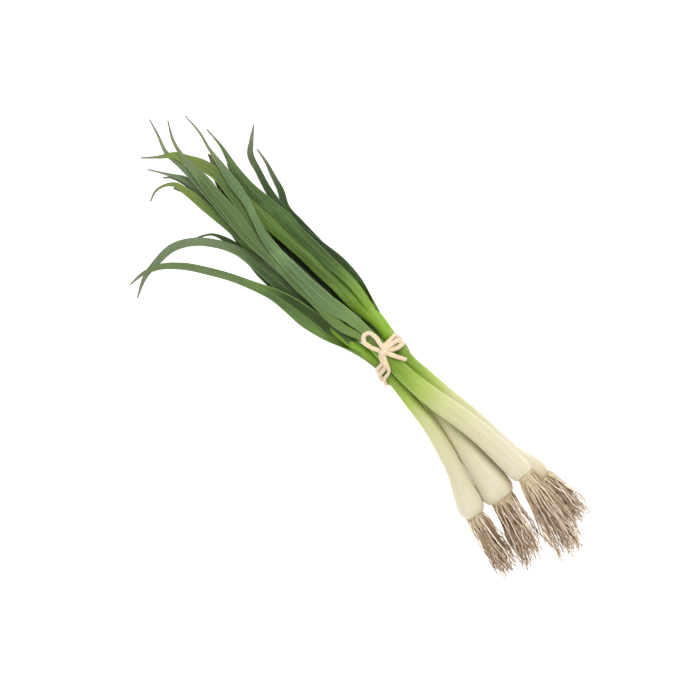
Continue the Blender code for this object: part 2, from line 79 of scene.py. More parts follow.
ROOT_END_SAMPLES = 8  # and how many its direction at the root end
SHANK_SIDES = 72
SHANK_LUMPINESS = 0.35  # how strongly its few broad lumps show
SHANK_LUMP_DRIFT = 60  # the length in which the lumps turn round the shank by a radian
SEAM_HEIGHT = 0.45  # how far a sheath's edge stands out
SEAM_SUNK = 0.25  # how far the skin lies inside the table's radius for each such edge
RIBS = 26  # fine ribs along the shank, and how deep they are as a share of its radius
RIB_DEPTH = 0.012
RIBS_FROM = 12.0  # the length from the root end in which they start
SHANK_COLOUR_START = -150  # the x at which the shank's colours start, and the length of one step along them
SHANK_COLOUR_STEP = 100
SHANK_SPAN = 2.4  # the number of such steps that the colours cover

# Each leaf: its onion; its layer in the pile, 0 lowest; the x where it parts from the shank; where its midrib
# starts round the shank, in degrees from the top towards +y; the face that turns up, 1 back or -1 inner;
# the depth of its fold; and the plan points that its midrib passes, each with the blade's width there.
LEAVES = [
    ("a", 6, 14, 95, -1, 3.2, [
        (34, 15.5, 14), (50, 19.5, 15), (63, 22.5, 15.5), (78, 24.5, 13.5), (94, 28, 9.5), (108, 33.5, 7),
        (125, 41, 6), (142, 50.5, 6), (159, 62, 5.5), (171, 75, 4.5), (176, 87, 3), (177, 100, 1),
    ]),
    ("a", 5, 24, -40, 1, 1.4, [
        (50, 13.5, 11), (90, 18, 12), (117, 20.5, 10), (137, 24, 7), (153, 32, 6.5), (166, 43, 6.5),
        (174, 57, 6.5), (175, 73, 5.5), (173, 88, 3.5), (166, 103, 1),
    ]),
    ("a", 4, 20, 60, 1, 1.5, [
        (42, 10.5, 11), (76, 14, 11), (110, 16, 10), (138, 15, 8), (152, 15.5, 7), (164, 16.5, 7),
        (179, 18, 7), (190, 18.8, 6.5), (200, 20.5, 5), (206, 22, 4), (211, 27, 2.5), (213.4, 37, 1.8),
        (210.6, 44.5, 1),
    ]),
    ("a", 3, 28, 150, -1, 1.2, [
        (50, 15, 9), (75, 19, 10), (110, 22.5, 9), (136, 22, 6), (150, 24.5, 4), (160, 29, 2),
        (166, 38.5, 1.6), (171, 56, 1),
    ]),
    ("b", 0, 16, 110, -1, 1.0, [
        (36, 7, 14), (63, 15, 16), (90, 20, 15), (112, 19.5, 13), (130, 18, 13), (144, 14.5, 11),
        (167, 14, 10), (185, 17, 7), (198, 20.5, 4), (206, 25, 1),
    ]),
    ("b", 2, 24, 20, 1, 1.2, [
        (48, 2, 12), (75, 4, 12), (112, 6, 12), (144, 9, 11), (170, 11, 9), (190, 12, 7.5), (204, 14.2, 5),
        (216, 20.5, 2.2), (229.5, 28.7, 1),
    ]),
    ("b", 1, 20, 170, -1, 1.0, [
        (45, 4.5, 12), (74, 8, 12), (111, 11, 12), (143, 12, 11), (170, 13, 8), (190, 14, 6), (205, 16.5, 4),
        (213, 20.5, 2), (217, 25, 1),
    ]),
    ("b", 0, 28, -100, -1, 1.0, [
        (45, -4, 13), (67, -5, 14), (98, -4, 14), (125, -4.5, 13), (148, -4.5, 13.5), (169, -4.5, 14),
        (180, -4.5, 12.5), (190, -7, 8.5), (198, -9.7, 3.5), (205, -11.8, 1),
    ]),
    ("b", 1, -4, -60, 1, 1.0, [
        (20, -3, 13), (44, -7.5, 15), (62, -10.5, 15.5), (90, -12, 14), (120, -12, 13), (150, -13, 11),
        (174, -14.5, 8), (190, -17, 1),
    ]),
    ("c", 10, 16, -35, 1, 2.2, [
        (36, 2, 11), (50, 3.5, 11.5), (68, 4.4, 11.5), (82, 4.8, 10), (97, 4.7, 9), (115, 4.2, 8),
        (131, 2.2, 6), (143, -1.8, 5), (159, -7, 6), (175, -9.6, 7), (184, -11.3, 6), (207, -15.3, 2.5),
        (221, -18.8, 1.8), (237, -19.9, 1),
    ]),
    ("c", 9, 20, 50, 1, 1.6, [
        (42, 6, 9), (53, 8.4, 8), (63, 9.3, 8), (74, 9.3, 8), (85, 9.5, 9), (97, 9.2, 8), (109, 9.5, 8),
        (121, 10.5, 8), (143, 9.9, 10), (163, 7.2, 10), (178, 6.4, 9.5), (190, 5, 9), (204, 4, 6.5),
        (218, 2.8, 3.5), (229, 0, 2.4), (243.5, -8, 1),
    ]),
    ("c", 8, 26, -120, -1, 1.4, [
        (48, 3, 10), (75, 5, 9), (103, 5, 8), (128, 3, 9), (150, -1, 10), (170, -4.5, 10), (190, -5.5, 9),
        (203, -2, 9), (212, 2.5, 8), (221, 6.5, 5.5), (229.5, 16.5, 2.5), (238.7, 26.4, 1),
    ]),
    ("c", 7, 30, 140, -1, 1.4, [
        (52, 5, 10), (74, 8, 9), (109, 10, 9), (141, 11, 9), (170, 9.5, 8), (198, 8.5, 6), (214, 9, 4.5),
        (228, 9.7, 3.2), (241, 5, 2), (254.5, 0.9, 1),
    ]),
    ("d", 6, 34, -20, 1, 2.0, [
        (62, -18.5, 8), (80, -18.8, 8.5), (100, -18.5, 9), (116, -17.8, 9.5), (130, -18.5, 10),
        (143, -17.5, 9.5), (164, -16, 8.5), (184, -18.5, 6), (202, -23, 2.5), (219, -24.5, 1),
    ]),
    ("d", 5, 20, 60, 1, 1.6, [
        (40, -12.3, 11), (56, -12, 11.5), (80, -11.3, 12), (100, -11, 12), (120, -9.5, 11.5),
        (131, -8.7, 11.5), (145, -9, 10), (160, -10, 8), (175, -11, 6), (190, -11.5, 4), (205, -12, 1),
    ]),
    ("d", 4, 26, -85, -1, 1.4, [
        (47, -19, 10), (72, -23.5, 10.5), (98, -21.5, 9.5), (122, -20, 8), (140, -22, 7), (154, -25, 5.5),
        (168.5, -29.5, 5), (182.7, -34.7, 5), (189, -42, 3.5), (196.5, -52, 1),
    ]),
    ("d", 3, 30, -150, -1, 1.2, [
        (50, -17, 10), (75, -20, 10), (98, -21.5, 10), (120, -22.5, 9), (134, -24.5, 6.5), (148, -31.8, 5),
        (157, -34.5, 4), (169.7, -38.6, 2.5), (182, -41, 1),
    ]),
]
LEAF_ROOTED = 14  # how far a leaf starts inside its shank, before it parts
LEAF_OPENS = 50  # the length in which a leaf unrolls from a sheath to a blade
LEAF_LOOSENS = 1.6  # how much wider its curl becomes meanwhile
LEAF_ROLLED_SHARE = 0.86  # of its width, how wide a leaf is while it is rolled
WRAP_THICKNESS = 0.7
FIRST_LAYER = 0.36  # height of the lowest layer's middle surface
LAYER_PITCH = 2.9
LAYER_PITCH_AT_TIPS = 1.3
PITCH_NARROWS = (90, 255)  # the x range in which the layers close up
PILE_HALF_WIDTH = 36
PILE_SIDE_DROP = 0.72
PILE_MIDDLE_Y = 2.0

LEAF_ROWS = 120
LEAF_COLUMNS = 18
RIB_THICKNESS = 0.68
EDGE_THICKNESS = 0.32
LEAF_LOWEST = 0.02
EDGE_THINNING = 0.7  # below 1, a blade is thin over more of its width
FOLD_ROUNDING = 0.012  # how softly the fold turns at the rib
FOLD_FLATTENS = 2.2  # how late the fold flattens towards the tip
MARGIN_WAVE = 0.28  # the height of the small waves of a blade's margins

# How each leaf is coloured: at its base, along its blade, in its darker streaks and at its tip, and the share
# of its length from which the tip's colour begins. The streaks' colour also gives the painted shade beside
# the rib and in the hollow.
GREENS = {
    "sage": ((0.155, 0.250, 0.060), (0.142, 0.228, 0.090), (0.070, 0.125, 0.045), (0.24, 0.27, 0.16), 0.72),
    "olive": ((0.160, 0.260, 0.050), (0.118, 0.190, 0.058), (0.058, 0.105, 0.028), (0.23, 0.26, 0.14), 0.72),
    "gold": ((0.270, 0.450, 0.036), (0.118, 0.212, 0.030), (0.058, 0.112, 0.015), (0.13, 0.19, 0.04), 0.58),
    "fresh": ((0.230, 0.390, 0.045), (0.072, 0.138, 0.028), (0.034, 0.072, 0.013), (0.12, 0.17, 0.06), 0.66),
    "lime": ((0.170, 0.270, 0.040), (0.080, 0.140, 0.030), (0.042, 0.084, 0.014), (0.20, 0.27, 0.055), 0.64),
    # deep: leaves low in the pile, in their own darker green and darkened further as painted shade under the
    # leaves above
    "deep": ((0.080, 0.150, 0.020), (0.036, 0.074, 0.013), (0.013, 0.032, 0.005), (0.14, 0.17, 0.09), 0.72),
    "bank": ((0.13, 0.23, 0.034), (0.118, 0.212, 0.036), (0.05, 0.095, 0.02), (0.135, 0.192, 0.08), 0.42),
    "curl": ((0.08, 0.14, 0.034), (0.085, 0.14, 0.04), (0.036, 0.066, 0.02), (0.165, 0.225, 0.115), 0.45),
}
LEAF_GREENS = [
    "bank", "curl", "lime", "deep", "deep", "curl", "deep", "deep", "deep",
    "sage", "olive", "lime", "sage", "fresh", "gold", "deep", "deep",
]
# How dark the painted shade is on the inner face in the hollow of a leaf that shows it, and from where to
# where along the leaf.
PAINTED_HOLLOW_SHADE = {1: (1.0, 0.20, 0.44), 5: (0.7, 0.06, 0.36), 12: (0.3, 0.06, 0.36), 13: (0.4, 0.06, 0.36)}
HOLLOW_STARTS_IN = 0.04  # how softly it starts and ends along the leaf
HOLLOW_ENDS_IN = 0.06
HOLLOW_ACROSS = (0.0, 0.10, 0.40, 0.56)  # where it starts, is full, thins and ends across the blade

# Each root tuft's end point, and its half width across and half height there.
TUFTS = {
    "a": ((-181, 50, 10.0), 11.5, 8.0),
    "b": ((-188, 30, 10.5), 13.0, 9.0),
    "c": ((-203, 5.5, 23.0), 15.0, 8.5),
    "d": ((-193, -16.5, 9.5), 13.5, 8.0),
}
# The plate under each bulb: the depth of each ring, and its radius as a share of the bulb's.
PLATE_PROFILE = [(0.0, 0.80), (0.5, 0.81), (1.2, 0.78), (2.2, 0.72), (2.9, 0.66), (3.2, 0.58)]
PLATE_SIDES = 40
ROOTS_PER_TUFT = 150
ROOTS_PER_CLUMP = 4
ROOT_POINTS = 16
ROOT_SIDES = 5
ROOT_RADIUS = (0.34, 0.72)
ROOT_TAPER = 0.6  # the share of its radius that a root loses by its tip
ROOT_START = 1.2  # how deep in the plate a root starts
ROOT_RING = 0.82  # the furthest out that it starts, as a share of the bulb's radius
ROOT_SPREAD = 0.42  # the lower, the sooner a tuft spreads after the plate
ROOT_OWN_PULL = 0.25  # how much of a root's place at the tuft's end is its own, and how much its clump's
ROOT_CLUMP_PULL = 0.85
ROOT_WAVES = ((2.4, 1.1), (1.4, 2.8), (0.55, 6.0))  # the size of each wave, and its turns along the tuft
ROOT_LOWEST = 0.6

CORD_HALF_WIDTH = 1.7
CORD_HALF_HEIGHT = 0.9
CORD_SIDES = 30
CORD_TWIST = 60.0  # millimetres along the cord in which its pleats turn once
CORD_PLEATS = 5
CORD_SIZE = 0.92  # its mean size, as a share of the half sizes above, and how much each change adds to it
PLEAT_DEPTH = 0.055
WRINKLE_DEPTH = 0.020
CORD_SWELL = 0.06  # how much wider and narrower the cord gets along its length, and in what length
CORD_SWELL_REACH = 3.1
# The two turns round the bunch: the x of each over the top, and how far they lean towards the roots below and
# at the +y side.
BAND_TOPS = (4.1, 7.7)
BAND_LEAN_BELOW = 9.0
BAND_LEAN_ASIDE = 4.5
BAND_STEPS = 180
KNOT = (5.8, 0.4, 32.8)
KNOT_HALF_SIZE = (3.7, 3.3, 2.1)
KNOT_TURNS = ((0.25, 1.0, 0.0), (-0.5, 0.9, 0.25), (1.2, 0.82, -0.15))  # each turn's lean, size and rise
KNOT_STEPS = 60
KNOT_HALF_WIDTH = 1.5
# The bow's two loops and its short end, as the points that the cord passes.
BOW = {
    "long_loop": [
        (6.5, -0.8, 33.9), (12, -2.0, 34.6), (19, -3.0, 35.6), (23.6, -1.6, 36.0), (24.6, 2.0, 35.8),
        (21.5, 5.4, 35.0), (15, 4.6, 34.0), (10, 2.6, 32.6), (6, 0.8, 31.6),
    ],
    "side_loop": [
        (5.8, -0.4, 33.9), (6.4, -5.0, 34.0), (5.4, -10.0, 31.6), (3.4, -13.8, 28.6), (0.4, -14.2, 27.0),
        (0.4, -10.6, 28.4), (2.0, -6.0, 30.8), (4.6, -1.4, 31.6),
    ],
    "right_end": [
        (5.6, 0.4, 32.8), (1.0, -1.8, 33.2), (-3.5, -4.0, 32.6), (-7.0, -5.8, 30.6), (-10.2, -7.4, 28.2),
    ],
}
BOW_STEPS = {"long_loop": 110, "side_loop": 90, "right_end": 40}
# The two ends that hang over the side of the bunch: each point's x, its turn round the bunch from the top in
# degrees, and its lift.
HANGING_ENDS = {
    "left_end": [(5.4, 0, 2.0), (1.5, 24, 2.6), (-2.5, 48, 2.4), (-6.0, 72, 2.2), (-9.0, 96, 2.2)],
    "left_ply": [(5.6, 4, 1.6), (-1.5, 26, 2.0), (-6.5, 46, 1.8), (-10.6, 66, 1.6), (-14.0, 86, 1.6)],
}
HANGING_STEPS = 60
HANGING_HALF_WIDTH = 1.4

# The photo's frame: its middle, measured from the tie, and the width that it shows at the bunch.
VIEW_MIDDLE = (24.4, 17.0)
VIEW_WIDTH = 525.0
VIEW_TURN = -135  # in degrees
BUNCH_HEIGHT = 18.0  # the height at which it shows that width
CAMERA_HEIGHT = 1.5  # in metres
SENSOR_WIDTH = 36
# The lights: each one's size and place in metres, and its power in watts.
KEY = (1.2, (0.45, -0.75, 1.7), 26)
FILL = (1.6, (-0.8, 1.0, 1.6), 13)
SKY_STRENGTH = 0.50
FLOOR_SIZE = 6  # in metres, as is its height
FLOOR_HEIGHT = -0.0004
FLOOR_GLOW = 0.75


def smooth_step(low, high, value):
    share = np.clip((value - low) / (high - low), 0.0, 1.0)
    return share * share * (3 - 2 * share)


def smooth_path(points, count):
    """count points, evenly spaced by length, on a smooth curve through the given points.

    The first three numbers of a point are its place, and any others, such as a radius, go along with them.
    """
    points = np.asarray(points, float)
    gaps = np.linalg.norm(np.diff(points[:, :3], axis=0), axis=1)
    slopes = np.diff(points, axis=0) / gaps[:, None]
    tangents = np.vstack([
        slopes[:1],
        (slopes[:-1] * gaps[1:, None] + slopes[1:] * gaps[:-1, None]) / (gaps[1:] + gaps[:-1])[:, None],
        slopes[-1:],
    ])
    dense = []
    for i, gap in enumerate(gaps):
        for t in np.linspace(0, 1, PATH_STEPS, endpoint=False):
            dense.append(
                (2 * t**3 - 3 * t**2 + 1) * points[i]
                + (t**3 - 2 * t**2 + t) * gap * tangents[i]
                + (3 * t**2 - 2 * t**3) * points[i + 1]
                + (t**3 - t**2) * gap * tangents[i + 1]
            )
    dense = np.array(dense + [points[-1]])
    return evenly_spaced(dense, np.linspace(0, 1, count))


def evenly_spaced(path, shares):
    """The points of a path at the given shares of its length."""
    along = lengths_along(path)
    wanted = shares * along[-1]
    return np.column_stack([np.interp(wanted, along, path[:, k]) for k in range(path.shape[1])])


def leaf_path(points, count):
    """Plan points with widths, evenly spaced by the length in plan."""
    level = np.insert(np.array(points, float), 2, 0, axis=1)
    return np.delete(smooth_path(level, count), 2, axis=1)


def lengths_along(path):
    return np.concatenate([[0], np.cumsum(np.linalg.norm(np.diff(path[:, :3], axis=0), axis=1))])


def unit(vectors):
    return vectors / np.linalg.norm(vectors, axis=-1, keepdims=True)


def add_piece(name, points, faces, finish, node, uv=None, tone=None):
    """A smooth mesh piece that shows its node, from points in millimetres from the tie."""
    placed = (np.asarray(points, float) - (ORIGIN_X, ORIGIN_Y, 0)) * MM
    mesh = bpy.data.meshes.new(name)
    mesh.from_pydata(placed.tolist(), [], faces)
    if uv is not None:
        layer = mesh.uv_layers.new(name="Along")
        corners = np.empty(len(mesh.loops), np.int32)
        mesh.loops.foreach_get("vertex_index", corners)
        layer.uv.foreach_set("vector", np.asarray(uv, np.float32)[corners].ravel())
    if tone is not None:
        tones = mesh.attributes.new("tone", "FLOAT", "POINT")
        tones.data.foreach_set("value", np.asarray(tone, np.float32))
    mesh.validate()
    mesh.shade_smooth()
    obj = bpy.data.objects.new(name, mesh)
    bpy.context.scene.collection.objects.link(obj)
    obj.data.materials.append(finish)
    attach(obj, "root")
    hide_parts(node)


def ring_faces(rings, sides, first=0, closed=False):
    """The faces of a tube of rings, whose points start at first: capped, or joined to itself if closed."""
    faces = []
    for i in range(rings if closed else rings - 1):
        a, b = first + i * sides, first + (i + 1) % rings * sides
        for j in range(sides):
            k = (j + 1) % sides
            faces.append((a + j, b + j, b + k, a + k))
    if not closed:
        faces.append(tuple(first + j for j in range(sides)))
        faces.append(tuple(first + (rings - 1) * sides + j for j in reversed(range(sides))))
    return faces


class Finish:
    """A material under construction: short names for the nodes that the finishes use."""

    def __init__(self, name, roughness, specular, **settings):
        self.material = bpy.data.materials.new(name)
        self.material.use_nodes = True
        self.tree = self.material.node_tree
        self.shader = self.tree.nodes["Principled BSDF"]
        self.shader.inputs["Roughness"].default_value = roughness
        self.shader.inputs["Specular IOR Level"].default_value = specular
        for socket, value in settings.items():
            self.shader.inputs[socket.replace("_", " ")].default_value = value

    def node(self, kind, **values):
        made = self.tree.nodes.new(kind)
        for key, value in values.items():
            setattr(made, key, value)
        return made

    def link(self, source, target):
        self.tree.links.new(source, target)

    def value(self, source, target):
        """Puts a number or colour, or a link, into an input."""
        if isinstance(source, bpy.types.NodeSocket):
            self.link(source, target)
        else:
            target.default_value = source

    def math(self, operation, a, b=0.0, c=0.0):
        made = self.node("ShaderNodeMath", operation=operation)
        for source, target in zip((a, b, c), made.inputs, strict=True):
            self.value(source, target)
        return made.outputs[0]

    def blend(self, share, a, b):
        made = self.node("ShaderNodeMix", data_type="RGBA")
        self.value(share, made.inputs[0])
        self.value(as_colour(a), made.inputs[6])
        self.value(as_colour(b), made.inputs[7])
        return made.outputs[2]

    def ramp(self, source, stops):
        made = self.node("ShaderNodeValToRGB")
        marks = made.color_ramp.elements
        while len(marks) < len(stops):
            marks.new(0.5)
        for mark, (place, colour) in zip(marks, stops, strict=True):
            mark.position = place
            mark.color = as_colour(colour)
        self.link(source, made.inputs[0])
        return made.outputs[0]

    def uv(self):
        """The vector of the map Along and its two numbers: the place across or round, and the place along."""
        made = self.node("ShaderNodeUVMap", uv_map="Along")
        split = self.node("ShaderNodeSeparateXYZ")
        self.link(made.outputs[0], split.inputs[0])
        return made.outputs[0], split.outputs[0], split.outputs[1]

    def stretched(self, vector, scale):
        made = self.node("ShaderNodeMapping")
        self.link(vector, made.inputs[0])
        made.inputs["Scale"].default_value = scale
        return made.outputs[0]

    def place(self):
        return self.node("ShaderNodeTexCoord").outputs["Object"]

    def noise(self, vector, scale, detail=3.0, roughness=0.55):
        made = self.node("ShaderNodeTexNoise")
        self.link(vector, made.inputs["Vector"])
        made.inputs["Scale"].default_value = scale
        made.inputs["Detail"].default_value = detail
        made.inputs["Roughness"].default_value = roughness
        return made.outputs[0]

    def tone(self):
        """The number that each point of the mesh carries."""
        return self.node("ShaderNodeAttribute", attribute_name="tone").outputs["Fac"]

    def range(self, source, low, high, to_low=0.0, to_high=1.0):
        """A number that goes smoothly from to_low to to_high as the source goes from low to high."""
        made = self.node("ShaderNodeMapRange", interpolation_type="SMOOTHSTEP")
        for number, item in enumerate((source, low, high, to_low, to_high)):
            self.value(item, made.inputs[number])
        return made.outputs[0]

    def roughness(self, source):
        self.link(source, self.shader.inputs["Roughness"])

    def bump(self, height, distance, strength):
        made = self.node("ShaderNodeBump")
        made.inputs["Distance"].default_value = distance * MM
        made.inputs["Strength"].default_value = strength
        self.link(height, made.inputs["Height"])
        self.link(made.outputs[0], self.shader.inputs["Normal"])

    def colour(self, source):
        self.link(source, self.shader.inputs["Base Color"])
        return self.material


def as_colour(item):
    return (*item, 1.0) if isinstance(item, tuple) and len(item) == 3 else item


def leaf_finish(name, tones):
    """A waxy blade: parallel veins, streaks along it, a dry tip, a painted highlight along the rib with
    painted shade beside it, a painted sheen on the margins and painted shade in its hollow.
    """
    base, blade, shade, tip, tip_from = tones
    own = Finish(name, roughness=0.42, specular=0.22, Subsurface_Weight=0.05, Subsurface_Scale=0.001,
                 Subsurface_Radius=(0.5, 1.0, 0.25))
    # the leaf's tone: painted shade in its hollow
    hollow = own.tone()
    uv, across, along = own.uv()
    from_rib = own.math("ABSOLUTE", own.math("SUBTRACT", across, 0.5))
    fine = own.noise(own.stretched(uv, (90.0, 2.4, 1.0)), 1.0, 2.0)
    broad = own.noise(own.stretched(uv, (6.0, 3.0, 1.0)), 1.0, 3.0)
    patches = own.noise(own.stretched(own.place(), (22.0, 60.0, 60.0)), 1.0, 4.0)
    pale = tuple(min(1.0, 1.6 * c + 0.02) for c in blade)
    # the margins' colour is a painted sheen, between the pale colour and the tip's
    margin = tuple((a + b) / 2 for a, b in zip(pale, tip, strict=True))
    colour = own.blend(own.range(broad, 0.34, 0.64), shade, blade)
    colour = own.blend(own.range(patches, 0.44, 0.66, 0.60, 0.0), colour, shade)
    colour = own.blend(own.range(patches, 0.50, 0.72, 0.0, 0.55), colour, pale)
    colour = own.blend(own.range(fine, 0.50, 0.66, 0.0, 0.55), colour, pale)
    colour = own.blend(own.range(fine, 0.30, 0.46, 0.60, 0.0), colour, shade)
    # painted shade in dark lines beside the rib, then a painted highlight along the rib itself
    colour = own.blend(own.range(from_rib, 0.035, 0.11, 0.75, 0.0), colour, shade)
    colour = own.blend(own.range(from_rib, 0.0, 0.035, 0.90, 0.0), colour, pale)
    # painted sheen along the blade's margins
    colour = own.blend(own.range(from_rib, 0.425, 0.485, 0.0, 0.85), colour, margin)
    wander = own.math("ADD", along, own.math("MULTIPLY", own.math("SUBTRACT", broad, 0.5), 0.16))
    colour = own.blend(own.range(wander, 0.05, 0.34, 0.85, 0.0), colour, base)
    # painted shade in the hollow of the inner face
    colour = own.blend(own.range(hollow, 0.0, 1.0, 0.0, 0.85), colour, tuple(0.55 * c for c in shade))
    colour = own.blend(own.range(wander, tip_from, min(0.97, tip_from + 0.25), 0.0, 0.8), colour, tip)
    colour = own.blend(own.range(wander, 0.90, 0.97, 0.0, 0.85), colour, (0.21, 0.20, 0.14))
    own.bump(own.math("ADD", own.math("MULTIPLY", fine, 0.7), own.math("MULTIPLY", broad, 0.5)), 0.30, 0.8)
    own.roughness(own.range(patches, 0.3, 0.7, 0.36, 0.52))
    return own.colour(colour)


def shank_finish():
    """White at the bulb, cream along the shank and green above the tie, with fine green strands between."""
    own = Finish("shank_skin", roughness=0.38, specular=0.30, Subsurface_Weight=0.45, Subsurface_Scale=0.005,
                 Subsurface_Radius=(1.0, 0.85, 0.35))
    uv, _, along = own.uv()
    strands = own.noise(own.stretched(uv, (64.0, 1.6, 1.0)), 1.0, 3.0, 0.6)
    broad = own.noise(own.stretched(uv, (9.0, 2.0, 1.0)), 1.0, 2.0)
    spots = own.noise(own.stretched(own.place(), (60.0, 160.0, 160.0)), 1.0, 4.0)
    moved = own.math("ADD", along, own.math("MULTIPLY", own.math("SUBTRACT", strands, 0.5), 0.40))
    moved = own.math("ADD", moved, own.math("MULTIPLY", own.math("SUBTRACT", broad, 0.5), 0.22))
    colour = own.ramp(own.math("DIVIDE", moved, SHANK_SPAN), [
        (0.04, (0.62, 0.52, 0.36)), (0.09, (0.68, 0.62, 0.48)), (0.20, (0.65, 0.60, 0.44)),
        (0.31, (0.62, 0.59, 0.37)), (0.40, (0.56, 0.57, 0.28)), (0.47, (0.40, 0.49, 0.11)),
        (0.53, (0.25, 0.38, 0.040)), (0.60, (0.15, 0.26, 0.014)), (0.70, (0.24, 0.42, 0.030)),
        (0.95, (0.18, 0.32, 0.026)),
    ])
    colour = own.blend(own.range(strands, 0.54, 0.74, 0.0, 0.28), colour, (0.50, 0.51, 0.17))
    colour = own.blend(own.range(spots, 0.58, 0.78, 0.0, 0.35), colour, (0.56, 0.45, 0.22))
    own.bump(own.math("ADD", strands, own.math("MULTIPLY", broad, 0.6)), 0.35, 0.7)
    own.roughness(own.range(spots, 0.3, 0.7, 0.30, 0.48))
    return own.colour(colour)


def root_finish():
    """Dry roots: each has its own shade, paler near the plate, with fine dark specks."""
    own = Finish("root_fibre", roughness=0.80, specular=0.25)
    _, _, along = own.uv()
    grain = own.noise(own.stretched(own.place(), (700.0, 700.0, 700.0)), 1.0, 3.0)
    colour = own.ramp(own.tone(), [
        (0.0, (0.23, 0.150, 0.090)), (0.3, (0.42, 0.305, 0.200)), (0.65, (0.63, 0.49, 0.345)),
        (1.0, (0.94, 0.84, 0.68)),
    ])
    colour = own.blend(own.range(along, 0.0, 0.25, 0.70, 0.0), colour, (0.66, 0.54, 0.36))
    colour = own.blend(own.range(grain, 0.50, 0.75, 0.0, 0.40), colour, (0.24, 0.16, 0.10))
    own.bump(grain, 0.15, 0.7)
    return own.colour(colour)


def plate_finish():
    """The corky disc that the roots grow from, close to the bulb's own cream."""
    own = Finish("plate_cork", roughness=0.75, specular=0.25)
    grain = own.noise(own.stretched(own.place(), (420.0, 420.0, 420.0)), 1.0, 4.0)
    own.bump(grain, 0.4, 0.8)
    return own.colour(own.blend(own.range(grain, 0.35, 0.7), (0.70, 0.60, 0.42), (0.50, 0.38, 0.20)))


def twine_finish():
    """Pleated paper cord: soft creases along it with painted shade in them, and painted warm shade in its
    folds.
    """
    own = Finish("paper_twine", roughness=0.72, specular=0.25, Sheen_Weight=0.2)
    uv, _, _ = own.uv()
    creases = own.noise(own.stretched(uv, (14.0, 2.2, 1.0)), 1.0, 4.0, 0.65)
    tints = own.noise(own.stretched(own.place(), (130.0, 130.0, 130.0)), 1.0, 2.0)
    # the tone's painted shade: warm and dark in the pleats, paler on their ridges
    colour = own.blend(own.range(own.tone(), 0.10, 0.70), (0.62, 0.44, 0.27), (0.90, 0.76, 0.54))
    colour = own.blend(own.range(tints, 0.45, 0.62, 0.0, 0.6), colour, (0.84, 0.66, 0.54))
    # painted shade: darker where the creases' bump runs low
    colour = own.blend(own.range(creases, 0.35, 0.62, 0.5, 0.0), colour, (0.66, 0.48, 0.30))
    own.bump(creases, 0.30, 0.8)
    return own.colour(colour)


SHANK_PATHS = {onion: smooth_path(points, SHANK_SAMPLES) for onion, points in SHANKS.items()}


def shank_at(onion, x):
    """The axis point and radius of a shank at x, carried straight on past its end."""
    path = SHANK_PATHS[onion]
    end, before = path[-1], path[-SHANK_END_SAMPLES]
    if x > end[0]:
        return end + (end - before) * (x - end[0]) / (end[0] - before[0])
    return np.array([np.interp(x, path[:, 0], path[:, k]) for k in range(4)])


def layer_height(x, y, layer):
    """Height of a leaf layer. Layers lie on each other, closer together towards the tips and the sides."""
    closing = smooth_step(*PITCH_NARROWS, x)
    pitch = LAYER_PITCH + (LAYER_PITCH_AT_TIPS - LAYER_PITCH) * closing
    aside = ((y - PILE_MIDDLE_Y) / PILE_HALF_WIDTH) ** 2
    return FIRST_LAYER + layer * pitch * (1 - PILE_SIDE_DROP * aside / (1 + aside))


def leaf_surface(leaf, rows, columns, draw):
    """Points across a leaf's middle surface, from inside its shank to its tip, and their share along it."""
    onion, layer, parts_at, start_angle, face, fold, plan = leaf
    on_shank = [(*shank_at(onion, x)[:2], plan[0][2]) for x in (parts_at - LEAF_ROOTED, parts_at)]
    widest = max(width for *_, width in plan)
    path = leaf_path(on_shank + plan, rows)
    widths, path = path[:, 2], path[:, :2]
    length = lengths_along(path)
    turn = math.radians(start_angle)
    wrap_radius = shank_at(onion, parts_at)[3] - WRAP_THICKNESS / 2
    directions = unit(np.gradient(path, axis=0))
    share = length / length[-1]
    opened = smooth_step(LEAF_ROOTED, LEAF_ROOTED + LEAF_OPENS, length)
    waves = [(draw.uniform(0.6, 1.1), draw.uniform(16, 34), draw.uniform(*ANY_PHASE)) for _ in range(2)]
    places = np.linspace(-1, 1, columns)
    points = np.empty((rows, columns, 3))
    for i in range(rows):
        centre, forward = path[i], directions[i]
        half = widths[i] * (LEAF_ROLLED_SHARE + (1 - LEAF_ROLLED_SHARE) * opened[i]) / 2
        across = np.array((-forward[1], forward[0]))
        axis_height = shank_at(onion, centre[0])[2]
        radius = wrap_radius * (1 + LEAF_LOOSENS * opened[i])
        offset = places * half
        flat_xy = centre + across * offset[:, None]
        spread = np.sqrt((offset / (widest / 2)) ** 2 + FOLD_ROUNDING) - math.sqrt(FOLD_ROUNDING)
        rise = fold * opened[i] * (spread if face < 0 else -spread) * min(1, FOLD_FLATTENS * (1 - share[i]))
        edge = np.abs(places) ** 3 * opened[i]
        for side, (size, reach, phase) in zip((places < 0, places >= 0), waves, strict=True):
            wave = math.sin(length[i] / reach * FULL_TURN + phase)
            rise = rise + np.where(side, MARGIN_WAVE * size * edge * wave, 0)
        flat = np.column_stack([flat_xy, layer_height(flat_xy[:, 0], flat_xy[:, 1], layer) + rise])
        angle = turn + face * offset / radius
        rolled_xy = centre + across * (radius * np.sin(angle))[:, None]
        rolled = np.column_stack([rolled_xy, axis_height + radius * np.cos(angle)])
        points[i] = rolled + (flat - rolled) * opened[i]
    return points, share


